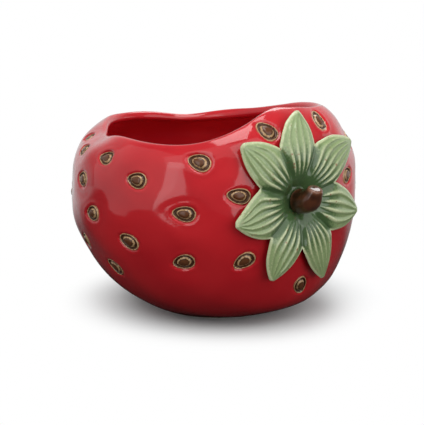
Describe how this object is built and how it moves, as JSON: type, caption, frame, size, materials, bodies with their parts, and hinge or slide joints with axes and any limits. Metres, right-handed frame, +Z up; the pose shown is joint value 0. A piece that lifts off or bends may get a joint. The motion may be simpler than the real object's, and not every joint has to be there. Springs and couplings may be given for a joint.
{
  "type": "ceramic planter",
  "caption": "Table-top ceramic planter shaped as a strawberry on its side, open on top, with a ribbed green leaf crown, a bent stem and brown seeds set in pits.",
  "frame": {"origin": "centre of the foot ring, on the plane it stands on", "axes": "+X towards the leaf crown, +Z up"},
  "size_m": [0.1936, 0.1658, 0.1261],
  "materials": {
    "red_glaze": "gloss",
    "green_glaze": "gloss",
    "brown_glaze": "gloss"
  },
  "bodies": {
    "root": {"fruit_shell": "red_glaze", "calyx_pad": "green_glaze", "leaf_top": "green_glaze", "leaf_upper_right": "green_glaze", "leaf_right": "green_glaze", "leaf_lower_right": "green_glaze", "leaf_lower_left": "green_glaze", "leaf_left": "green_glaze", "leaf_upper_left": "green_glaze", "stem": "brown_glaze", "seed_01": "brown_glaze", "seed_02": "brown_glaze", "seed_03": "brown_glaze", "seed_04": "brown_glaze", "seed_05": "brown_glaze", "seed_06": "brown_glaze", "seed_07": "brown_glaze", "seed_08": "brown_glaze", "seed_09": "brown_glaze", "seed_10": "brown_glaze", "seed_11": "brown_glaze", "seed_12": "brown_glaze", "seed_13": "brown_glaze", "seed_14": "brown_glaze", "seed_15": "brown_glaze", "seed_16": "brown_glaze", "seed_17": "brown_glaze", "seed_18": "brown_glaze", "seed_19": "brown_glaze", "seed_20": "brown_glaze", "seed_21": "brown_glaze", "seed_22": "brown_glaze", "seed_23": "brown_glaze", "seed_24": "brown_glaze", "seed_25": "brown_glaze", "seed_26": "brown_glaze", "seed_27": "brown_glaze", "seed_28": "brown_glaze", "seed_29": "brown_glaze", "seed_30": "brown_glaze", "seed_31": "brown_glaze", "seed_32": "brown_glaze", "seed_33": "brown_glaze", "seed_34": "brown_glaze", "seed_35": "brown_glaze", "seed_36": "brown_glaze", "seed_37": "brown_glaze", "seed_38": "brown_glaze", "seed_39": "brown_glaze", "seed_40": "brown_glaze"}
  },
  "joints": []
}
